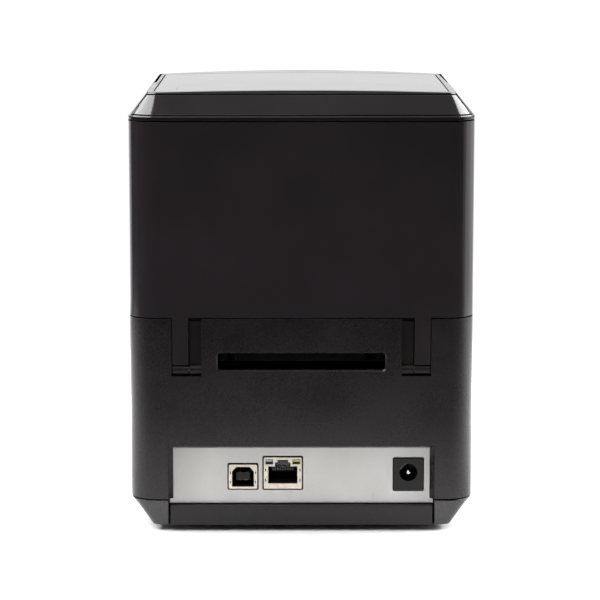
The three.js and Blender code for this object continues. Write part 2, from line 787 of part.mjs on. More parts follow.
piece(drive, "platen_frame", platenFrame(), ZINC);
const roller = rodX(PLATEN.radius, [-PLATEN.half, PLATEN.half], 0, 0, 36);
const rollerBore = rodX(3.3, [-FAR, FAR], 0, 0);
piece(drive, "platen_roller", roller.subtract(rollerBore), PLATEN_RUBBER, [0, PLATEN.y, PLATEN.z]);
piece(drive, "platen_shaft", rodX(3, [-48, 39.5], 0, 0), STEEL, [0, PLATEN.y, PLATEN.z]);
for (const [place, sx] of SIDES) {
  const xs = onSide(sx, FRAME_X[0] - 0.4, FRAME_X[1] + 0.4);
  const bush = rodX(6, xs, 0, 0).subtract(rodX(3.3, [-FAR, FAR], 0, 0));
  piece(drive, `platen_bearing_${place}`, bush, NYLON, [0, PLATEN.y, PLATEN.z]);
}

function wheel(teeth, phase, bore) {
  return prismX(gearOutline(teeth, phase), GEAR_X).subtract(rodX(bore, [-FAR, FAR], 0, 0, 20));
}

piece(drive, "platen_gear", wheel(PLATEN.teeth, platenPhase, 3.3), NYLON, [0, PLATEN.y, PLATEN.z]);
piece(drive, "idler_gear", wheel(IDLER.teeth, idlerPhase, 2.3), NYLON, [0, idlerCentre.y, idlerCentre.z]);
piece(
  drive,
  "idler_stud",
  union(rodX(2, [-47.2, -35.1], 0, 0, 16), rodX(3.2, [-48.2, -46.6], 0, 0, 16)),
  STEEL,
  [0, idlerCentre.y, idlerCentre.z],
);
piece(
  drive,
  "motor_pinion",
  union(prismX(gearOutline(MOTOR.teeth, motorPhase), GEAR_X), rodX(1.5, [-41.5, -35], 0, 0, 12)),
  ALUMINIUM,
  [0, motorCentre.y, motorCentre.z],
);

function stepperMotor() {
  const half = MOTOR.size / 2;
  const corner = 5;
  const outline = [
    [half, -half + corner],
    [half, half - corner],
    [half - corner, half],
    [-half + corner, half],
    [-half, half - corner],
    [-half, -half + corner],
    [-half + corner, -half],
    [half - corner, -half],
  ];
  return prismX(outline, [-34.7, -10]);
}

piece(drive, "stepper_motor", stepperMotor(), DARK_PLASTIC, [0, motorCentre.y, motorCentre.z]);

// ---------------------------------------------------------------- front bezel and buttons

const controls = assembly();
const BUTTON_FACE = FRONT + 0.1;
const FEED = { x: 0, z: 62, half: [12, 6.5], radius: 4 };
const POWER_KEY = { x: -33, z: 62, radius: 5 };
const STATUS = { x: 33, z: 62, half: [6, 1.8], radius: 1.7 };

const pill = (key, grow) =>
  roundedRect(
    [key.x - key.half[0] - grow, key.x + key.half[0] + grow],
    [key.z - key.half[1] - grow, key.z + key.half[1] + grow],
    key.radius + grow,
  );

function frontBezel() {
  const plate = prismY(
    roundedRect(
      [-BEZEL.half + FIT, BEZEL.half - FIT],
      [BEZEL.bottom + FIT, BEZEL.top - FIT],
      5 - FIT,
    ),
    [BEZEL.face, BEZEL.back],
  );
  const through = [FRONT - 1, FRONT + 10];
  return cut(
    plate,
    prismY(pill(FEED, FIT), through),
    prismY(pill(STATUS, FIT), through),
    rodY(POWER_KEY.radius + FIT, POWER_KEY.x, through, POWER_KEY.z),
  );
}

piece(controls, "front_bezel", frontBezel(), BLACK_GLOSS);
const KEY_BACK = [BEZEL.back + FIT, BEZEL.back + 2];
const feedKey = union(
  prismY(pill(FEED, 0), [BUTTON_FACE, KEY_BACK[1]]),
  prismY(pill(FEED, 1.5), KEY_BACK),
);
piece(controls, "feed_button", feedKey, GREY_PLASTIC);
const powerKey = union(
  rodY(POWER_KEY.radius, POWER_KEY.x, [BUTTON_FACE, KEY_BACK[1]], POWER_KEY.z),
  rodY(POWER_KEY.radius + 1.5, POWER_KEY.x, KEY_BACK, POWER_KEY.z),
);
piece(controls, "power_button", powerKey, GREY_PLASTIC);
piece(controls, "status_lens", prismY(pill(STATUS, 0), [BEZEL.face, KEY_BACK[1]]), CLEAR_LENS);

// One latch button on each side of the base: a cap in the wall, a stem, and a hook that rises
// beside the lid's strike.
function latchButton(sx) {
  const span = (from, to) => onSide(sx, from, to);
  const [low, high] = [LATCH.bottom, LATCH.top];
  const capLength = LATCH.halfLength - FIT;
  return union(
    block(span(67.4, SIDE - FIT), [-capLength, capLength], [low, high]),
    block(span(58, 68), [-4, 4], [low + 2, low + 8]),
    block(span(58, 60.2), [-4, 4], [low + 2, 85]),
    block(span(58, 62.4), [-4, 4], [82.4, 85]),
  );
}

// The strike hangs from the lid beside the hook.
function latchStrike(sx) {
  return union(
    block(onSide(sx, 64.8, 66.8), [-6, 6], [78, 104]),
    block(onSide(sx, 62.8, 65), [-4, 4], [79.6, 82]),
  );
}

for (const [place, sx] of SIDES) {
  piece(controls, `latch_button_${place}`, latchButton(sx), GREY_PLASTIC, [0, LATCH.y, 0]);
}

// ---------------------------------------------------------------- lid

const lid = assembly();
const PANEL_DEPTH = 1.8;
const TRIM_DEPTH = 1.2;

// Cutting outline of the top panel, seen from above.
const topOutline = (grow) => {
  const half = SIDE - HIP_SET_IN - 2.9 + grow;
  const rear = REAR - (ROOF - HIP_START) - 3.4 + grow;
  return roundedRect([-half, half], [HOOD_BREAK + 4 - grow, rear], 3 + grow);
};

// Cutting outline of the rear trim, seen from behind. Its ends follow the hips.
const trimOutline = (grow) => {
  const [low, high] = [HIP_START + 0.9 - grow, ROOF - 0.9 + grow];
  const [lowHalf, highHalf] = [SIDE - 1.9 + grow, SIDE - HIP_SET_IN - 0.3 + grow];
  return [
    [-lowHalf, low],
    [lowHalf, low],
    [highHalf, high],
    [-highHalf, high],
  ];
};

// Cutting outline of the window, seen square to the hood, measured down the hood.
const WINDOW = { half: 46, near: 14, far: 88, radius: 8 };
const windowOutline = (grow) =>
  roundedRect(
    [-WINDOW.half - grow, WINDOW.half + grow],
    [-WINDOW.far - grow, -WINDOW.near + grow],
    WINDOW.radius + grow,
  );

// The outer skin of the lid between two depths, and the same of its walls and chamfer alone.
const skin = (from, to) => lidForm(from, SPLIT).subtract(lidForm(to, 0));
const wallSkin = (from, to) => lidBlock(from, SPLIT).subtract(lidBlock(to, 0));
const topTool = (grow) => prismZ(topOutline(grow), [ROOF - 8, FAR]);
const trimTool = (grow) => prismY(trimOutline(grow), [REAR - 14 - grow, REAR + 5]);

// The window's outline lies in the hood's own plane, so it's turned with the hood.
function windowTool(grow) {
  const geometry = extruded(windowOutline(grow), 60);
  geometry.translate(0, 0, -30);
  geometry.rotateX(radians(HOOD_ANGLE));
  geometry.translate(0, HOOD_BREAK, ROOF);
  return solid(geometry);
}

const lidHollow = lidForm(WALL, 0);
const crownZone = aboveCrownEdge(SEAM);

function lidCrown() {
  const shell = lidForm(0, LID_BOTTOM).subtract(lidHollow).intersect(crownZone);
  const panelRecess = skin(-1, PANEL_DEPTH + FIT);
  const trimPocket = wallSkin(-1, TRIM_DEPTH + FIT).intersect(trimTool(FIT));
  const pockets = [topTool(FIT), windowTool(FIT)].map((tool) => panelRecess.intersect(tool));
  return cut(shell, ...pockets, trimPocket, windowTool(-3));
}

function lidShell() {
  let shell = lidForm(0, LID_BOTTOM).subtract(lidHollow).subtract(aboveCrownEdge(-SEAM));
  for (const [, sx] of SIDES) {
    const xs = onSide(sx, NOTCH.post + FIT / 2, NOTCH.outer - FIT);
    const leg = block(xs, [REAR - WALL, REAR], [HINGE_Z + KNUCKLE - 0.2, LID_BOTTOM + 1]);
    const neck = block(xs, [REAR - WALL, HINGE_Y + 0.9], [HINGE_Z, HINGE_Z + KNUCKLE]);
    const knuckle = rodX(KNUCKLE, xs, HINGE_Y, HINGE_Z, 20);
    const bore = rodX(HINGE_PIN + FIT, onSide(sx, NOTCH.post, NOTCH.outer - 1), HINGE_Y, HINGE_Z, 12);
    shell = cut(union(shell, leg, neck, knuckle), bore);
  }
  const mouth = block([-MOUTH.half, MOUTH.half], [FRONT - 1, FRONT + 5], [0, MOUTH.top]);
  return shell.subtract(mouth);
}

piece(lid, "lid_shell", lidShell(), BLACK_SHELL);
piece(lid, "lid_crown", lidCrown(), BLACK_SHELL);
piece(lid, "top_panel", skin(0, PANEL_DEPTH).intersect(topTool(0)), BLACK_GLOSS);
piece(lid, "rear_trim", wallSkin(0, TRIM_DEPTH).intersect(trimTool(0)), BLACK_SHELL);
piece(lid, "media_window", skin(0, PANEL_DEPTH).intersect(windowTool(0)), SMOKED);
for (const [place, sx] of SIDES) {
  const xs = onSide(sx, NOTCH.inner + FIT, NOTCH.outer - 1 - FIT);
  piece(lid, `hinge_pin_${place}`, rodX(HINGE_PIN, xs, HINGE_Y, HINGE_Z, 12), STEEL);
  piece(lid, `latch_strike_${place}`, latchStrike(sx), GREY_PLASTIC, [0, LATCH.y, 0]);
}

// ---------------------------------------------------------------- printhead

const head = assembly(lid);
const HEAD = { y: [-96, -76], bottom: 90.4, top: 96.4, half: 31 };
const BRACKET = { half: 64, y: [-92, -72], bottom: 104, top: 106 };

function headBracket() {
  const plate = block([-BRACKET.half, BRACKET.half], BRACKET.y, [BRACKET.bottom, BRACKET.top]);
  const ear = (x0, x1) => block([x0, x1], [BRACKET.y[0], BRACKET.y[1] - 4], [94, BRACKET.bottom + 1]);
  return union(plate, ear(33, 35), ear(-35, -33));
}

// A ceramic heater on a finned aluminium heat sink.
function printhead() {
  let body = block([-HEAD.half, HEAD.half], HEAD.y, [HEAD.bottom, HEAD.top]);
  for (let y = HEAD.y[0] + 3; y < HEAD.y[1] - 2; y += 4) {
    body = body.subtract(block([-26, -22], [y, y + 2], [HEAD.top - 2.5, HEAD.top + 1]));
    body = body.subtract(block([22, 26], [y, y + 2], [HEAD.top - 2.5, HEAD.top + 1]));
  }
  return body;
}

class Helix extends THREE.Curve {
  constructor(radius, turns, bottom, top) {
    super();
    Object.assign(this, { radius, turns, bottom, top });
  }

  getPoint(t) {
    const angle = t * this.turns * 2 * Math.PI;
    return new THREE.Vector3(
      this.radius * Math.cos(angle),
      this.radius * Math.sin(angle),
      this.bottom + t * (this.top - this.bottom),
    );
  }
}

function headSpring() {
  const wire = 0.45;
  const path = new Helix(2.8, 4, HEAD.top + FIT + wire + 0.2, BRACKET.bottom - FIT - wire - 0.2);
  const section = new THREE.Shape(arc(0, 0, wire, 0, 300, 5).map(([a, b]) => new THREE.Vector2(a, b)));
  return solid(new THREE.ExtrudeGeometry(section, { steps: 40, bevelEnabled: false, extrudePath: path }));
}

// Tear bar with a saw-toothed lower edge.
function tearBar() {
  const [half, teeth, low, high] = [30.5, 24, MOUTH.top + 0.2, 99];
  const pitch = (2 * half) / teeth;
  const outline = [[half, high], [-half, high]];
  for (let i = 0; i < teeth; i += 1) {
    outline.push([-half + i * pitch, low + 1]);
    outline.push([-half + (i + 0.5) * pitch, low]);
  }
  outline.push([half, low + 1]);
  return prismY(outline, [FRONT + WALL + FIT, FRONT + WALL + 1.5]);
}

piece(head, "head_bracket", headBracket(), ZINC);
piece(head, "printhead", printhead(), CERAMIC);
for (const [place, sx] of SIDES) {
  const middle = (HEAD.y[0] + HEAD.y[1]) / 2;
  piece(head, `head_spring_${place}`, headSpring(), STEEL, [sx * 14, middle, 0]);
}
piece(head, "tear_bar", tearBar(), STEEL);

export default printer;
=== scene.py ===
"""Looks of a desktop thermal label printer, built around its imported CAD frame.

Everything is in metres in the CAD's own frame: the label mouth faces -Y, the socket plate
faces +Y, and the feet stand on Z = 0. Small sizes are written as a number times MM.
"""
import json
import math

import bmesh
import bpy
from mathutils import Matrix, Vector

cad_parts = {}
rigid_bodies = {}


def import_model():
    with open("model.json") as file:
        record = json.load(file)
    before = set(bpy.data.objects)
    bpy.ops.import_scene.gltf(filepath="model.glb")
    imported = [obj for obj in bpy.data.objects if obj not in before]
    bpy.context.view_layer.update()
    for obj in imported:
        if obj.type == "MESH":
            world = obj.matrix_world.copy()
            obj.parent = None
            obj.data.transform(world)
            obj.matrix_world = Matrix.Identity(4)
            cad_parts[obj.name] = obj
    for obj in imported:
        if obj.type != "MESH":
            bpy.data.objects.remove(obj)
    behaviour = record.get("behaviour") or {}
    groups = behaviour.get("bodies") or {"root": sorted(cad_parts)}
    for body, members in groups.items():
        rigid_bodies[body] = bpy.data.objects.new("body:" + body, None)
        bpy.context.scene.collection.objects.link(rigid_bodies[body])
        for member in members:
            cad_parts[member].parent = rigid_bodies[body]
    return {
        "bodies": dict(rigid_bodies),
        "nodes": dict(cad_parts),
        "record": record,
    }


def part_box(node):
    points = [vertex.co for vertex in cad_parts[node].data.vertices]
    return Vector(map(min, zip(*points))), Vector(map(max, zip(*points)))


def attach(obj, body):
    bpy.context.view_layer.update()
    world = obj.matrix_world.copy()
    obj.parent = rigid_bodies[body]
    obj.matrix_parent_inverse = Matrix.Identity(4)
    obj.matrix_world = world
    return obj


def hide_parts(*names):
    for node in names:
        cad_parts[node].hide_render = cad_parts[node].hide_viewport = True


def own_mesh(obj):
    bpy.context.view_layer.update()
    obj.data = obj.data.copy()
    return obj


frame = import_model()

MM = 0.001
NODES = frame["nodes"]


def clear_startup_objects():
    """Removes whatever Blender's own start-up scene brought along."""
    kept = set(NODES.values()) | set(frame["bodies"].values())
    for thing in [o for o in bpy.data.objects if o not in kept]:
        bpy.data.objects.remove(thing)


clear_startup_objects()
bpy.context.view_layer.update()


# ---------------------------------------------------------------- material recipes

def add_node(tree, kind, inputs=None, **settings):
    """Adds a node to a node tree, and links or sets its inputs by name or number."""
    made = tree.nodes.new(kind)
    for key, value in settings.items():
        setattr(made, key, value)
    for key, value in (inputs or {}).items():
        if isinstance(value, bpy.types.NodeSocket):
            tree.links.new(value, made.inputs[key])
        else:
            made.inputs[key].default_value = value
    return made


class Recipe:
    """A Principled material and short calls that add procedural detail to it."""

    def __init__(self, name, colour, roughness, metallic=0.0, **more):
        self.material = bpy.data.materials.new(name)
        self.material.use_nodes = True
        self.tree = self.material.node_tree
        self.shader = self.tree.nodes["Principled BSDF"]
        self.place = self.tree.nodes.new("ShaderNodeTexCoord").outputs["Object"]
        self.normal = None
        self.set("Base Color", (*colour, 1.0))
        self.set("Roughness", roughness)
        self.set("Metallic", metallic)
        for socket, value in more.items():
            self.set(socket.replace("_", " "), value)

    def set(self, socket, value):
        """Gives a shader socket a constant, or links it to another node's output."""
        target = self.shader.inputs[socket]
        if isinstance(value, bpy.types.NodeSocket):
            self.tree.links.new(value, target)
        else:
            target.default_value = value

    def node(self, kind, inputs=None, **settings):
        """Adds a node to this material."""
        return add_node(self.tree, kind, inputs, **settings)

    def stretched(self, stretch):
        """The object's coordinates with each axis scaled, for streaks and brushing."""
        return self.node("ShaderNodeMapping", {"Vector": self.place, "Scale": stretch}).outputs[0]

    def noise(self, size, detail=2.0, stretch=None, roughness=0.5):
        """Noise between 0 and 1 whose features are about size metres across."""
        place = self.stretched(stretch) if stretch else self.place
        inputs = {"Vector": place, "Scale": 1.0 / size, "Detail": detail, "Roughness": roughness}
        return self.node("ShaderNodeTexNoise", inputs).outputs["Fac"]

    def remap(self, value, low, high, to_low, to_high):
        """Maps the range low..high of a value onto another range, and holds it there."""
        inputs = {"Value": value, "From Min": low, "From Max": high, "To Min": to_low, "To Max": to_high}
        return self.node("ShaderNodeMapRange", inputs).outputs["Result"]

    def mix(self, share, first, second):
        """A colour between two others."""
        blend = self.node("ShaderNodeMix", {"Factor": share}, data_type="RGBA")
        colour_sockets = [s for s in blend.inputs if s.type == "RGBA"]
        for socket, colour in zip(colour_sockets, (first, second)):
            if isinstance(colour, bpy.types.NodeSocket):
                self.tree.links.new(colour, socket)
            else:
                socket.default_value = (*colour, 1.0)
        return [s for s in blend.outputs if s.type == "RGBA"][0]

    def math(self, operation, first, second):
        """A sum, product or other two-input operation."""
        return self.node("ShaderNodeMath", {0: first, 1: second}, operation=operation).outputs[0]

    def bump(self, height, depth, strength=1.0):
        """Adds relief of a depth in metres on top of the relief made so far."""
        inputs = {"Height": height, "Distance": depth, "Strength": strength}
        if self.normal is not None:
            inputs["Normal"] = self.normal
        self.normal = self.node("ShaderNodeBump", inputs).outputs["Normal"]
        self.set("Normal", self.normal)


def moulded_plastic(name, colour, roughness, grain=0.45 * MM, relief=0.012 * MM, tone=0.18, gloss=0.5):
    """Satin moulded plastic: a spark-eroded grain, faint flow marks and uneven sheen."""
    recipe = Recipe(name, colour, roughness, Specular_IOR_Level=gloss)
    flow = recipe.noise(28 * MM, 3.0)
    fine = recipe.noise(grain, 2.0)
    darker = tuple(c * (1 - tone) for c in colour)
    lighter = tuple(c * (1 + tone) for c in colour)
    recipe.set("Base Color", recipe.mix(recipe.remap(flow, 0.35, 0.65, 0.0, 1.0), darker, lighter))
    patches = recipe.remap(flow, 0.3, 0.7, -0.04, 0.04)
    speckle = recipe.remap(fine, 0.3, 0.7, -0.05, 0.05)
    sheen = recipe.math("ADD", patches, speckle)
    recipe.set("Roughness", recipe.math("ADD", sheen, roughness))
    recipe.bump(fine, relief)
    return recipe.material


def gloss_plastic(name, colour, roughness=0.07):
    """Polished plastic with hairline scratches and a little dust haze."""
    recipe = Recipe(name, colour, roughness, IOR=1.5)
    haze = recipe.noise(40 * MM, 4.0)
    along = recipe.noise(1.2 * MM, 1.0, stretch=(1.0, 0.02, 1.0))
    across = recipe.noise(1.6 * MM, 1.0, stretch=(0.03, 1.0, 1.0))
    lengthways = recipe.remap(along, 0.77, 0.85, 0.0, 1.0)
    crossways = recipe.remap(across, 0.78, 0.86, 0.0, 1.0)
    hairs = recipe.math("MAXIMUM", lengthways, crossways)
    cloud = recipe.remap(haze, 0.4, 0.75, 0.0, 0.05)
    worn = recipe.math("MULTIPLY", hairs, 0.12)
    recipe.set("Roughness", recipe.math("ADD", recipe.math("ADD", cloud, worn), roughness))
    recipe.bump(recipe.noise(9 * MM, 1.0), 0.006 * MM)
    return recipe.material


def zinc_sheet(name, ends=None):
    """Zinc-plated steel with a fine mottled crystal pattern.

    Where ends are given, it darkens from the first to the second distance either side of X = 0: painted
    shade beside the jambs of the plate's opening.
    """
    recipe = Recipe(name, (0.6, 0.6, 0.59), 0.4, metallic=1.0)
    crystals = recipe.node("ShaderNodeTexVoronoi", {"Vector": recipe.place, "Scale": 1 / (0.9 * MM)})
    spangle = crystals.outputs["Color"]
    grey = recipe.node("ShaderNodeRGBToBW", {"Color": spangle}).outputs[0]
    fine = recipe.noise(0.25 * MM, 3.0)
    clouds = recipe.noise(14 * MM, 3.0)
    facets = recipe.remap(grey, 0.2, 0.8, -0.05, 0.05)
    speckle = recipe.remap(fine, 0.3, 0.7, -0.07, 0.07)
    broad = recipe.remap(clouds, 0.3, 0.7, 0.42, 0.58)
    tone = recipe.math("ADD", recipe.math("ADD", facets, speckle), broad)
    # Painted shade: the sheet darkens towards its ends.
    if ends:
        across = recipe.node("ShaderNodeSeparateXYZ", {0: recipe.place}).outputs["X"]
        outwards = recipe.node("ShaderNodeMath", {0: across}, operation="ABSOLUTE").outputs[0]
        tone = recipe.math("SUBTRACT", tone, recipe.remap(outwards, *ends, 0.0, 0.45))
    recipe.set("Base Color", recipe.mix(tone, (0.35, 0.345, 0.335), (0.58, 0.575, 0.56)))
    recipe.set("Roughness", recipe.remap(grey, 0.1, 0.9, 0.36, 0.5))
    recipe.bump(fine, 0.008 * MM)
    return recipe.material


def bright_metal(name, colour, roughness, stretch=(1.0, 1.0, 1.0), streak=0.4 * MM):
    """Plated or turned metal with directional tool marks."""
    recipe = Recipe(name, colour, roughness, metallic=1.0)
    marks = recipe.noise(streak, 2.0, stretch=stretch)
    stain = recipe.noise(6 * MM, 3.0)
    darker = tuple(c * 0.82 for c in colour)
    recipe.set("Base Color", recipe.mix(recipe.remap(stain, 0.35, 0.65, 0.0, 1.0), colour, darker))
    recipe.set("Roughness", recipe.remap(marks, 0.3, 0.7, roughness * 0.75, roughness * 1.3))
    recipe.bump(marks, 0.004 * MM)
    return recipe.material


def rubber(name, colour, grain=0.5 * MM):
    """Matte rubber with a ground, slightly dusty skin."""
    recipe = Recipe(name, colour, 0.8)
    skin = recipe.noise(grain, 4.0)
    dust = recipe.noise(7 * MM, 4.0)
    pale = tuple(c * 1.7 + 0.01 for c in colour)
    recipe.set("Base Color", recipe.mix(recipe.remap(dust, 0.5, 0.75, 0.0, 0.5), colour, pale))
    recipe.set("Roughness", recipe.remap(skin, 0.3, 0.7, 0.7, 0.92))
    recipe.bump(skin, 0.03 * MM)
    return recipe.material


def circuit_board():
    """Green solder mask with copper tracks that show through as paler lines."""
    recipe = Recipe("circuit_board", (0.02, 0.13, 0.06), 0.3)
    layout = {"Vector": recipe.place, "Scale": 1 / (4 * MM), "Mortar Size": 0.06}
    lines = recipe.node("ShaderNodeTexBrick", layout).outputs["Fac"]
    mottling = recipe.noise(3 * MM, 2.0)
    share = recipe.remap(mottling, 0.3, 0.7, 0.0, 1.0)
    mask = recipe.mix(share, (0.014, 0.1, 0.045), (0.02, 0.14, 0.06))
    recipe.set("Base Color", recipe.mix(lines, mask, (0.05, 0.26, 0.11)))
    recipe.bump(lines, 0.02 * MM)
    return recipe.material


def smoked_plastic():
    """Smoked see-through plastic."""
    recipe = Recipe("smoked_plastic", (0.16, 0.16, 0.18), 0.06, IOR=1.49)
    recipe.set("Transmission Weight", 0.85)
    scuffs = recipe.noise(0.8 * MM, 1.0, stretch=(1.0, 0.05, 1.0))
    recipe.set("Roughness", recipe.remap(scuffs, 0.7, 0.85, 0.05, 0.2))
    recipe.bump(recipe.noise(11 * MM, 1.0), 0.004 * MM)
    return recipe.material


def lens_plastic(name, colour):
    """A small milky light guide."""
    recipe = Recipe(name, colour, 0.2, IOR=1.5)
    recipe.set("Subsurface Weight", 0.3)
    ridges = recipe.noise(0.3 * MM, 1.0, stretch=(1.0, 1.0, 0.1))
    recipe.set("Roughness", recipe.remap(ridges, 0.3, 0.7, 0.12, 0.32))
    recipe.bump(ridges, 0.02 * MM)
    return recipe.material


CASE_BLACK = (0.0105, 0.0083, 0.0094)
LID_BLACK = (0.018, 0.0145, 0.0165)
CROWN_BLACK = (0.0095, 0.008, 0.0088)
MATERIALS = {
    "case_black": moulded_plastic("case_black", CASE_BLACK, 0.28, gloss=0.34),
    "tray_black": moulded_plastic("tray_black", CASE_BLACK, 0.3, gloss=0.27),
    # A darker, duller black; on the hinge posts sunk in the notches its darker colour is painted shade.
    "hinge_black": moulded_plastic("hinge_black", (0.0075, 0.006, 0.0055), 0.45, gloss=0.15),
    "chamfer_black": moulded_plastic("chamfer_black", CASE_BLACK, 0.26, gloss=0.6),
    "lid_black": moulded_plastic("lid_black", LID_BLACK, 0.13, relief=0.0015 * MM, tone=0.08),
    "crown_black": moulded_plastic("crown_black", CROWN_BLACK, 0.13, relief=0.0015 * MM, tone=0.08),
    "gloss_black": gloss_plastic("gloss_black", (0.006, 0.006, 0.0065)),
    "smoked_window": smoked_plastic(),
    "foot_rubber": rubber("foot_rubber", (0.012, 0.012, 0.012)),
    "zinc_plate": zinc_sheet("zinc_plate"),
    # The socket plate's zinc, with painted shade darkening its ends.
    "zinc_painted_end_shade": zinc_sheet("zinc_painted_end_shade", ends=(38 * MM, 54 * MM)),
    "bright_steel": bright_metal("bright_steel", (0.72, 0.71, 0.69), 0.24),
    "aluminium": bright_metal("aluminium", (0.6, 0.61, 0.63), 0.34, stretch=(0.05, 1.0, 1.0)),
    "white_nylon": moulded_plastic("white_nylon", (0.72, 0.7, 0.62), 0.45, tone=0.04),
    "clear_lens": lens_plastic("clear_lens", (0.3, 0.31, 0.3)),
    "yellow_lens": lens_plastic("yellow_lens", (0.42, 0.38, 0.06)),
    "socket_steel": bright_metal("socket_steel", (0.58, 0.52, 0.45), 0.3),
    "contact_gold": bright_metal("contact_gold", (0.85, 0.66, 0.36), 0.25, stretch=(1.0, 0.1, 1.0)),
    "contact_bronze": bright_metal("contact_bronze", (0.2, 0.15, 0.1), 0.35, stretch=(1.0, 0.1, 1.0)),
    "socket_black": moulded_plastic("socket_black", (0.007, 0.0065, 0.0065), 0.4, gloss=0.25),
    "dark_plastic": moulded_plastic("dark_plastic", (0.035, 0.035, 0.038), 0.5),
    "grey_plastic": moulded_plastic("grey_plastic", (0.07, 0.075, 0.085), 0.5, tone=0.1),
    "circuit_board": circuit_board(),
    "platen_rubber": rubber("platen_rubber", (0.05, 0.05, 0.053), grain=0.2 * MM),
}

# Each node is finished as its slot in the record says, apart from these.
FINISH_OF = {row["node"]: row["material_slot"] for row in frame["record"]["subparts"]}
FINISH_OF.update(
    lid_shell="lid_black",
    lid_crown="crown_black",
    rear_trim="crown_black",
    bottom_case="tray_black",
    # The socket plate, with painted shade at its ends.
    io_plate="zinc_painted_end_shade",
    power_socket_body="socket_black",
    usb_socket_tongue="socket_black",
    hinge_pin_left="contact_bronze",
    hinge_pin_right="contact_bronze",
)


# ---------------------------------------------------------------- finishing the CAD nodes

# How far the larger nodes' edges are rounded. All others have the small edge.
EDGE = {
    "base_shell": 0.1 * MM,
    "lid_shell": 0.05 * MM,
    "lid_crown": 0.2 * MM,
    "bottom_case": 0.4 * MM,
    "top_panel": 0.3 * MM,
    "rear_trim": 0.3 * MM,
    "platen_roller": 0.4 * MM,
    "io_plate": 0.15 * MM,
}
SMALL_EDGE = 0.15 * MM
SHARP = math.radians(28)  # a turn of more than this is an edge
FLAT = math.radians(0.3)  # facets that turn by less than this are merged
SAME_POINT = 0.001 * MM  # corners closer than this are merged


def finish_node(name):
    """Welds a node's facets, rounds its edges, smooths its shading and gives it its material."""
    thing = NODES[name]
    mesh = thing.data
    if "custom_normal" in mesh.attributes:
        mesh.attributes.remove(mesh.attributes["custom_normal"])
    mesh.polygons.foreach_set("use_smooth", [True] * len(mesh.polygons))
    mesh.materials.clear()
    mesh.materials.append(MATERIALS[FINISH_OF[name]])
    weld = thing.modifiers.new("weld", "WELD")
    weld.merge_threshold = SAME_POINT
    merge = thing.modifiers.new("merge flat facets", "DECIMATE")
    merge.decimate_type = "DISSOLVE"
    merge.angle_limit = FLAT
    merge.delimit = {"MATERIAL"}
    bevel = thing.modifiers.new("rounded edges", "BEVEL")
    bevel.width = EDGE.get(name, SMALL_EDGE)
    bevel.segments = 2
    bevel.limit_method = "ANGLE"
    bevel.angle_limit = SHARP
    bevel.use_clamp_overlap = False
    bevel.harden_normals = True


for node_name in NODES:
    finish_node(node_name)


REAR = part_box("base_shell")[1].y  # the printer's rear wall
FAR = 1.0  # beyond the printer on every side


def repaint(name, finish, x=(0, FAR), y=(-FAR, FAR), z=(0, FAR)):
    """Gives another finish to a node's faces whose middles lie in three spans, on both sides of X = 0."""
    mesh = NODES[name].data
    mesh.materials.append(MATERIALS[finish])
    place = NODES[name].matrix_world
    for face in mesh.polygons:
        middle = place @ face.center
        spans = ((abs(middle.x), x), (middle.y, y), (middle.z, z))
        if all(low <= value <= high for value, (low, high) in spans):
            face.material_index = len(mesh.materials) - 1


def paint_hinges():
    """Makes the lid's knuckles, and the base shell's posts and knuckles, darker and duller than the walls;
    on the posts, sunk in the notches, the darker black is painted shade.
    """
    pin_low, pin_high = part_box("hinge_pin_left")
    post_back = REAR - 0.5 * MM
    post_front = post_back - 6 * MM
    post_side = 0.0464  # just beyond the outer sides of the posts and knuckles
    lid_knuckle = {"x": (pin_low.x, 0.06), "y": (0, FAR), "z": (0, pin_high.z + 1.5 * MM)}
    # The posts' faces, sunk in the notches, get painted shade.
    post = {"x": (0.0395, post_side), "y": (post_front, post_back), "z": (0.064, 0.0885)}
    knuckle = {"x": (0.0405, post_side), "y": (post_front, FAR), "z": (0.0651, 0.07)}
    repaint("lid_shell", "hinge_black", **lid_knuckle)
    repaint("base_shell", "hinge_black", **post)
    repaint("base_shell", "hinge_black", **knuckle)


def paint_seams():
    """Dulls the shells' upper faces, which lie inside the seams."""
    for name in ("base_shell", "lid_shell"):
        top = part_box(name)[1].z
        repaint(name, "hinge_black", z=(top - 0.02 * MM, FAR))


def paint_tray():
    """Makes the tray's leaning sides glossier than the flat band between them."""
    band_side = 0.0547  # where the band ends
    repaint("bottom_case", "chamfer_black", x=(band_side, FAR))


def dull_edges(name):
    """Gives a node's rounded edges the hinge's duller finish, so that they don't glint."""
    thing = NODES[name]
    thing.data.materials.append(MATERIALS["hinge_black"])
    thing.modifiers["rounded edges"].material = len(thing.data.materials) - 1


paint_hinges()
paint_seams()
paint_tray()
for shell in ("lid_shell", "lid_crown", "base_shell"):
    dull_edges(shell)


# ---------------------------------------------------------------- pieces made here

PIECE_SHARP = math.radians(40)


def put(mesh, name, finish, body="base"):
    """Makes a piece of a mesh: its finish and the body that carries it."""
    mesh.name = name
    mesh.materials.clear()
    mesh.materials.append(MATERIALS[finish])
    mesh.polygons.foreach_set("use_smooth", [True] * len(mesh.polygons))
    thing = bpy.data.objects.new(name, mesh)
    bpy.context.scene.collection.objects.link(thing)
    sharp = thing.modifiers.new("sharp edges", "EDGE_SPLIT")
    sharp.split_angle = PIECE_SHARP
    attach(thing, body)
    return thing


def rounded_block(low, high, edge=0.1 * MM):
    """A block between two corners, with rounded edges, as a loose bmesh."""
    shape = bmesh.new()
    bmesh.ops.create_cube(shape, size=1.0)
    size = [b - a for a, b in zip(low, high)]
    middle = [(a + b) / 2 for a, b in zip(low, high)]
    bmesh.ops.scale(shape, vec=size, verts=shape.verts)
    bmesh.ops.translate(shape, vec=middle, verts=shape.verts)
    bmesh.ops.bevel(shape, geom=shape.edges[:], offset=edge, segments=2, affect="EDGES", profile=0.5)
    return shape


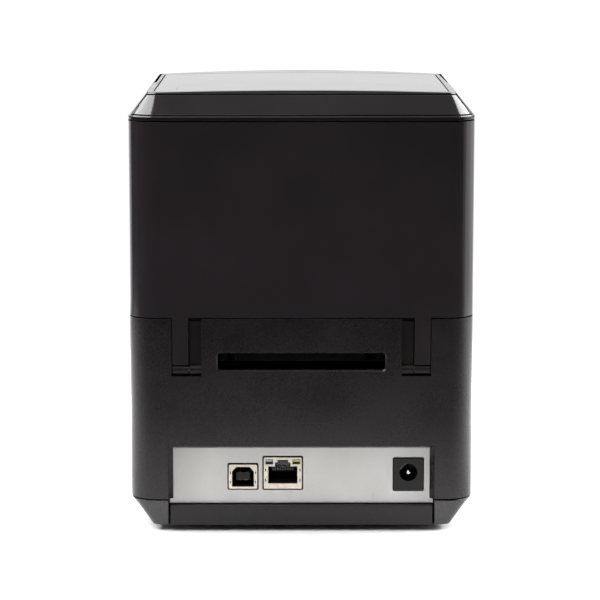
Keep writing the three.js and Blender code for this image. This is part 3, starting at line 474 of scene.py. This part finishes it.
def joined(*shapes):
    """One mesh of several loose bmeshes or meshes, which it uses up."""
    mesh = bpy.data.meshes.new("joined")
    whole = bmesh.new()
    for shape in shapes:
        part = shape
        if isinstance(shape, bmesh.types.BMesh):
            part = bpy.data.meshes.new("part")
            shape.to_mesh(part)
            shape.free()
        whole.from_mesh(part)
        bpy.data.meshes.remove(part)
    whole.to_mesh(mesh)
    whole.free()
    return mesh


def mesh_of(curve):
    """A mesh of a curve, which it uses up."""
    holder = bpy.data.objects.new("holder", curve)
    mesh = bpy.data.meshes.new_from_object(holder)
    bpy.data.objects.remove(holder)
    bpy.data.curves.remove(curve)
    return mesh


def plate(outlines, y0, y1, edge=0.08 * MM):
    """A sheet square to Y, cut to its first outline with the others as holes, as a mesh."""
    curve = bpy.data.curves.new("plate", "CURVE")
    curve.dimensions = "2D"
    curve.fill_mode = "BOTH"
    curve.extrude = (y1 - y0) / 2 - edge
    curve.bevel_depth = edge
    curve.bevel_resolution = 1
    curve.offset = -edge
    for outline in outlines:
        spline = curve.splines.new("POLY")
        spline.points.add(len(outline) - 1)
        for point, (x, z) in zip(spline.points, outline):
            point.co = (x, z, 0.0, 1.0)
        spline.use_cyclic_u = True
    mesh = mesh_of(curve)
    mesh.transform(Matrix.Translation((0, (y0 + y1) / 2, 0)) @ Matrix.Rotation(math.pi / 2, 4, "X"))
    return mesh


CORNERS = ((1, 1), (-1, 1), (-1, -1), (1, -1))


def rectangle(x, z, half_x, half_z, radius=0.0, steps=3):
    """A rectangle round a middle point, with rounded corners if a radius is given."""
    if not radius:
        return [(x + sx * half_x, z + sz * half_z) for sx, sz in CORNERS]
    points = []
    for quarter, (sx, sz) in enumerate(CORNERS):
        for step in range(steps + 1):
            angle = (quarter + step / steps) * math.pi / 2
            points.append((
                x + sx * (half_x - radius) + radius * math.cos(angle),
                z + sz * (half_z - radius) + radius * math.sin(angle),
            ))
    return points


def rear_view(node):
    """A CAD node from behind: its middle x and z, its half width and height, its face and back."""
    low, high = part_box(node)
    middle = ((low.x + high.x) / 2, (low.z + high.z) / 2)
    return middle, ((high.x - low.x) / 2, (high.z - low.z) / 2), high.y, low.y


def shroud(node, gap):
    """A black ring that closes the gap between a socket and its hole in the plate."""
    (x, z), (half_x, half_z), _, _ = rear_view(node)
    low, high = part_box("io_plate")
    overlap = 0.1 * MM
    outer = rectangle(x, z, half_x + gap, half_z + gap)
    inner = rectangle(x, z, half_x - overlap, half_z - overlap)
    return plate([outer, inner], low.y - 1 * MM, high.y - 0.9 * MM)


SHEET = 0.5 * MM  # thickness of the sockets' metal faces
INSET = 0.12 * MM  # how far the plastic behind shows inside the metal's holes
MOUTH_DEPTH = 12 * MM  # from a data socket's face to the wall at the back of its mouth
MOUTH_WALL = 1 * MM


def bar(x, half_x, y_span, z_span, edge=0.1 * MM):
    """A rounded block from its middle and half width in x, and its ends in y and z."""
    return rounded_block((x - half_x, y_span[0], z_span[0]), (x + half_x, y_span[1], z_span[1]), edge)


def side_slits(x, z, out, heights):
    """Small spring slits in a socket's metal face, at both sides of its mouth."""
    half_x, half_z = 0.2 * MM, 0.5 * MM
    return [
        rectangle(x + side * out, z + height, half_x, half_z)
        for side in (-1, 1)
        for height in heights
    ]


def usb_mouth(x, z, inset=0.0):
    """The square mouth of a USB-B socket, with its two upper corners cut off."""
    half_x = 4.48 * MM - inset
    half_z = 4.15 * MM - inset
    shoulder = 2.2 * MM
    crown = 2.65 * MM - inset / 2
    return [
        (x - half_x, z - half_z),
        (x + half_x, z - half_z),
        (x + half_x, z + shoulder),
        (x + crown, z + half_z),
        (x - crown, z + half_z),
        (x - half_x, z + shoulder),
    ]


def usb_leaves(x, stop):
    """Four contact leaves: two along the top of the tongue and two along its underside."""
    low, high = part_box("usb_socket_tongue")
    apart, half_x = 1.25 * MM, 0.45 * MM
    sunk, proud = 0.05 * MM, 0.12 * MM
    y_span = (stop + 0.1 * MM, high.y - 0.4 * MM)
    leaves = []
    for level, way in ((high.z, 1), (low.z, -1)):
        z_span = sorted((level - way * sunk, level + way * proud))
        for side in (-1, 1):
            leaves.append(bar(x + side * apart, half_x, y_span, z_span, 0.03 * MM))
    return leaves


def make_usb_socket():
    """USB-B socket: a metal face, a black housing with a closed back, and four contact leaves."""
    (x, z), (half_x, half_z), face, back = rear_view("usb_socket_shell")
    stop = face - MOUTH_DEPTH
    rim = rectangle(x, z, half_x - INSET, half_z - INSET, 0.6 * MM)
    slits = side_slits(x, z, 5.2 * MM, (1.7 * MM, -2.2 * MM))
    front = plate([rim, usb_mouth(x, z), *slits], face - SHEET, face)
    metal = put(front, "usb_socket_face", "socket_steel")
    walls = plate([rectangle(x, z, half_x, half_z), usb_mouth(x, z, INSET)], back, face - SHEET)
    end = bar(x, 4.6 * MM, (stop - MOUTH_WALL, stop), (z - 4.3 * MM, z + 4.3 * MM))
    ring = shroud("usb_socket_shell", 0.33 * MM)
    housing = put(joined(walls, end, ring), "usb_socket_housing", "socket_black")
    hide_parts("usb_socket_shell")
    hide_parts("usb_socket_shell")
    put(joined(*usb_leaves(x, stop)), "usb_socket_contacts", "contact_gold")


def jack_mouth(x, z, inset=0.0):
    """The mouth of a network socket: the plug's square, a step above it and the clip's keyway."""
    floor = z - 4.3 * MM + inset
    steps = ((6.0, 2.85), (3.2, 4.5), (2.2, 5.6))  # each step's half width and height, in mm
    right = []
    below = floor
    for half, height in steps:
        side = x + half * MM - inset
        top = z + height * MM - inset
        right += [(side, below), (side, top)]
        below = top
    return right + [(2 * x - a, b) for a, b in reversed(right)]


CONTACTS = 8
PITCH = 1.02 * MM  # between the network socket's contacts


def spread(count, pitch):
    """Places one pitch apart, evenly either side of zero."""
    return [(index - (count - 1) / 2) * pitch for index in range(count)]


def window_hole(side):
    """The hole in the network socket round one of its indicator windows."""
    (x, z), (half_x, half_z), _, _ = rear_view(f"ethernet_window_{side}")
    gap = 0.15 * MM
    return rectangle(x, z, half_x + gap, half_z + gap)


def window_painted_shadow(side):
    """A dark bar over the lower half of an indicator window: a painted shadow where the window's recess is
    in shade.
    """
    low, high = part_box(f"ethernet_window_{side}")
    rim = 0.1 * MM
    return rounded_block(
        (low.x - rim, high.y - 0.3 * MM, low.z - rim),
        (high.x + rim, high.y + 0.04 * MM, (low.z + high.z) / 2),
        0.03 * MM,
    )


def contact_comb(x, z, face):
    """The teeth that keep the contact wires apart, and the block above them."""
    tooth_y, tooth_z = (face - 5 * MM, face - 1.4 * MM), (z + 0.9 * MM, z + 2.8 * MM)
    block_y, block_z = (face - 4 * MM, face - 2 * MM), (z + 2.9 * MM, z + 5.5 * MM)
    teeth = [bar(x + place, 0.22 * MM, tooth_y, tooth_z, 0.05 * MM) for place in spread(CONTACTS + 1, PITCH)]
    return [*teeth, bar(x, 3.1 * MM, block_y, block_z)]


def contact_wires(x, z, face):
    """Straight wires that slope down towards the back of the mouth."""
    half, reach = 0.18 * MM, 4.2 * MM
    slope = Matrix.Rotation(math.radians(22), 3, "X")
    wires = []
    for place in spread(CONTACTS, PITCH):
        wire = bar(x + place, half, (-reach, reach), (-half, half), 0.05 * MM)
        bmesh.ops.rotate(wire, cent=(x + place, 0, 0), matrix=slope, verts=wire.verts)
        bmesh.ops.translate(wire, vec=(0, face - 6.6 * MM, z + 0.8 * MM), verts=wire.verts)
        wires.append(wire)
    return wires


def make_ethernet_socket():
    """Network socket: a metal face, a black housing with a closed back, and eight contact wires."""
    (x, z), (half_x, half_z), face, back = rear_view("ethernet_socket")
    stop = face - MOUTH_DEPTH
    windows = [window_hole(side) for side in ("left", "right")]
    behind_windows = face - 2.3 * MM
    rim = rectangle(x, z, half_x - INSET, half_z - INSET, 0.5 * MM)
    slits = side_slits(x, z, 7.1 * MM, (1.3 * MM, -3.0 * MM))
    front = plate([rim, jack_mouth(x, z), *windows, *slits], face - SHEET, face)
    metal = put(front, "ethernet_socket_face", "socket_steel")
    outside = rectangle(x, z, half_x, half_z)
    mouth = jack_mouth(x, z, INSET)
    near = plate([outside, mouth, *windows], behind_windows, face - SHEET)
    far = plate([outside, mouth], back, behind_windows)
    end = bar(x, 6.2 * MM, (stop - MOUTH_WALL, stop), (z - 4.5 * MM, z + 5.8 * MM))
    ring = shroud("ethernet_socket", 0.36 * MM)
    housing = put(joined(near, far, end, ring), "ethernet_socket_housing", "socket_black")
    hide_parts("ethernet_socket")
    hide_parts("ethernet_socket")
    comb = joined(*contact_comb(x, z, face))
    put(comb, "ethernet_socket_comb", "dark_plastic")
    wires = joined(*contact_wires(x, z, face))
    put(wires, "ethernet_socket_contacts", "contact_gold")
    # Painted shadows: dark bars over the lower halves of the indicator windows.
    for side in ("left", "right"):
        shade = joined(window_painted_shadow(side))
        put(shade, f"ethernet_window_shade_{side}", "socket_black")


def make_power_socket_details():
    """The power pin's rounded tip, the side contact that presses on the plug, and the shroud."""
    (x, z), (radius, _), face, _ = rear_view("power_socket_pin")
    tip = bmesh.new()
    bmesh.ops.create_uvsphere(tip, u_segments=20, v_segments=12, radius=radius * 0.98)
    bmesh.ops.translate(tip, vec=(x, face, z), verts=tip.verts)
    put(joined(tip), "power_socket_pin_tip", "bright_steel")
    inner, outer = 3.2 * MM, 3.45 * MM
    bearing, span, steps = 48, 60, 8
    leaf = []
    for reach, turn in ((inner, 1), (outer, -1)):
        for step in range(steps + 1):
            angle = math.radians(bearing + turn * span * (step / steps - 0.5))
            leaf.append((x + reach * math.cos(angle), z + reach * math.sin(angle)))
    contact = plate([leaf], face - 9 * MM, face - 0.6 * MM, 0.04 * MM)
    put(contact, "power_socket_spring", "contact_bronze")
    ring = shroud("power_socket_body", 0.27 * MM)
    put(ring, "power_socket_shroud", "socket_black")


WIRE = 0.45 * MM  # the head springs' wire, from its middle to its skin


def coil(x, y, bottom, top, reach, turns=5, steps=16):
    """An upright coil of the springs' wire round a point, as a mesh."""
    curve = bpy.data.curves.new("coil", "CURVE")
    curve.dimensions = "3D"
    curve.bevel_depth = WIRE
    curve.bevel_resolution = 2
    curve.use_fill_caps = True
    spline = curve.splines.new("POLY")
    spline.points.add(turns * steps)
    for step, point in enumerate(spline.points):
        angle = 2 * math.pi * step / steps
        level = bottom + (top - bottom) * step / (turns * steps)
        point.co = (x + reach * math.cos(angle), y + reach * math.sin(angle), level, 1.0)
    return mesh_of(curve)


def make_head_spring(side):
    """A coil spring between the lid's bracket and the printhead, carried by the lid."""
    low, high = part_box(f"head_spring_{side}")
    x, y = (low.x + high.x) / 2, (low.y + high.y) / 2
    reach = (high.x - low.x) / 2 - WIRE
    mesh = coil(x, y, low.z + WIRE, high.z - WIRE, reach)
    spring = put(mesh, f"head_coil_{side}", "bright_steel", "lid")
    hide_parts(f"head_spring_{side}")
    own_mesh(spring)


def make_seam_lip():
    """A lip inside the lid's rear wall that keeps light from showing through the crown's seam."""
    back = REAR - 2.6 * MM
    front = back - 1 * MM
    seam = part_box("lid_shell")[1].z
    lip = bar(0, 64 * MM, (front, back), (seam - 0.65 * MM, seam + 0.85 * MM))
    put(joined(lip), "crown_seam_lip", "hinge_black", "lid")


make_usb_socket()
make_ethernet_socket()
make_seam_lip()
for spring_side in ("left", "right"):
    make_head_spring(spring_side)
make_power_socket_details()


# ---------------------------------------------------------------- stage, lights and camera

# The floor is an oval about the origin. It fades from the solid distance to the gone one, and
# its faint glow grows from nothing to its full strength between the two glow distances.
FLOOR = {
    "half": 0.75,
    "oval": (0.5, 1.0, 1.0),
    "solid": 0.14,
    "gone": 0.36,
    "glow_from": 0.1,
    "glow_to": 0.2,
    "glow": 0.2,
}


def make_floor():
    """A pale oval floor that fades away some way off."""
    mesh = bpy.data.meshes.new("floor")
    grid = bmesh.new()
    bmesh.ops.create_grid(grid, x_segments=1, y_segments=1, size=FLOOR["half"])
    grid.to_mesh(mesh)
    grid.free()
    floor = bpy.data.objects.new("floor", mesh)
    bpy.context.scene.collection.objects.link(floor)
    recipe = Recipe("floor_paper", (0.9, 0.9, 0.9), 0.6)
    fibres = recipe.noise(2 * MM, 3.0)
    recipe.set("Roughness", recipe.remap(fibres, 0.3, 0.7, 0.55, 0.7))
    oval = recipe.stretched(FLOOR["oval"])
    away = recipe.node("ShaderNodeVectorMath", {0: oval}, operation="LENGTH").outputs["Value"]
    recipe.set("Alpha", recipe.remap(away, FLOOR["solid"], FLOOR["gone"], 1.0, 0.0))
    recipe.set("Emission Color", (1.0, 1.0, 1.0, 1.0))
    glow = recipe.remap(away, FLOOR["glow_from"], FLOOR["glow_to"], 0.0, FLOOR["glow"])
    recipe.set("Emission Strength", glow)
    mesh.materials.append(recipe.material)


# The room's brightness by direction: away from and towards the white sweep, and low down and
# overhead. Each edge is where the first turns into the second, as the cosine of the angle to the
# sweep or to the zenith.
ROOM = {
    "sweep_way": (-0.485, -0.875, 0.0),
    "sweep_edge": (0.3, 0.46),
    "sweep": (0.05, 1.05),
    "ceiling_edge": (0.6, 0.9),
    "ceiling": (0.0, 0.3),
}


def make_world():
    """A studio with a white sweep beyond the printer and a dim side behind the photographer."""
    world = bpy.data.worlds.new("studio")
    bpy.context.scene.world = world
    world.use_nodes = True
    tree = world.node_tree
    tree.nodes.clear()

    def node(kind, inputs=None, **settings):
        return add_node(tree, kind, inputs, **settings)

    def ramp(value, edge, levels):
        inputs = {
            "Value": value,
            "From Min": edge[0],
            "From Max": edge[1],
            "To Min": levels[0],
            "To Max": levels[1],
        }
        return node("ShaderNodeMapRange", inputs, interpolation_type="SMOOTHSTEP").outputs["Result"]

    way = node("ShaderNodeTexCoord").outputs["Generated"]
    toward = node("ShaderNodeVectorMath", {0: way, 1: ROOM["sweep_way"]}, operation="DOT_PRODUCT")
    sweep = ramp(toward.outputs["Value"], ROOM["sweep_edge"], ROOM["sweep"])
    height = node("ShaderNodeSeparateXYZ", {0: way}).outputs["Z"]
    ceiling = ramp(height, ROOM["ceiling_edge"], ROOM["ceiling"])
    room = node("ShaderNodeMath", {0: sweep, 1: ceiling}, operation="MAXIMUM").outputs[0]

    # The camera itself sees white all round.
    seen = node("ShaderNodeLightPath").outputs["Is Camera Ray"]
    strength = node("ShaderNodeMath", {0: room, 1: seen}, operation="MAXIMUM").outputs[0]
    background = node("ShaderNodeBackground", {"Color": (1, 1, 1, 1), "Strength": strength})
    output = node("ShaderNodeOutputWorld")
    tree.links.new(background.outputs[0], output.inputs["Surface"])


MIDDLE = (0.0, 0.05, 0.08)  # what the lights look at, in the printer's rear half


def softbox(name, place, size, radiance):
    """A soft rectangular light of a given radiance, turned towards the printer."""
    data = bpy.data.lights.new(name, "AREA")
    data.shape = "RECTANGLE"
    data.size, data.size_y = size
    data.energy = radiance * math.pi * size[0] * size[1]
    lamp = bpy.data.objects.new(name, data)
    lamp.location = place
    lamp.rotation_mode = "QUATERNION"
    lamp.rotation_quaternion = (Vector(MIDDLE) - Vector(place)).to_track_quat("-Z", "Y")
    lamp.visible_camera = False
    bpy.context.scene.collection.objects.link(lamp)


def make_lights():
    """Two large lights high up, a smaller one behind the camera and two weak ones at the sides."""
    softbox("high_left", (0.8, -0.1, 1.2), (1.3, 1.2), 9.0)
    softbox("high_right", (-0.95, -0.35, 0.95), (1.0, 1.0), 11.0)
    softbox("behind_camera", (0.35, 1.25, 1.35), (0.8, 0.8), 7.0)
    softbox("right_side", (-1.15, -0.1, 0.35), (1.4, 1.0), 0.5)
    softbox("left_side", (0.75, -1.0, 0.35), (1.2, 1.0), 1.1)


CAMERA = {
    "distance": 1.0086,  # from the rear wall
    "height": 0.2588,
    "aside": 0.0043,
    "pitch": math.radians(9.135),  # down from level
    "yaw": math.radians(0.21),  # away from straight ahead, towards -X
    "lens": 150.7,
    "sensor": 36,
}


def make_camera():
    """The camera at the photograph's place and angle, behind the printer."""
    data = bpy.data.cameras.new("camera")
    data.lens = CAMERA["lens"]
    data.sensor_width = CAMERA["sensor"]
    camera = bpy.data.objects.new("camera", data)
    camera.location = (CAMERA["aside"], REAR + CAMERA["distance"], CAMERA["height"])
    level = math.cos(CAMERA["pitch"])
    look = Vector((
        -math.sin(CAMERA["yaw"]) * level,
        -math.cos(CAMERA["yaw"]) * level,
        -math.sin(CAMERA["pitch"]),
    ))
    camera.rotation_mode = "QUATERNION"
    camera.rotation_quaternion = look.to_track_quat("-Z", "Y")
    bpy.context.scene.collection.objects.link(camera)
    bpy.context.scene.camera = camera


make_floor()
make_world()
make_lights()
make_camera()
bpy.context.scene.view_settings.view_transform = "Standard"
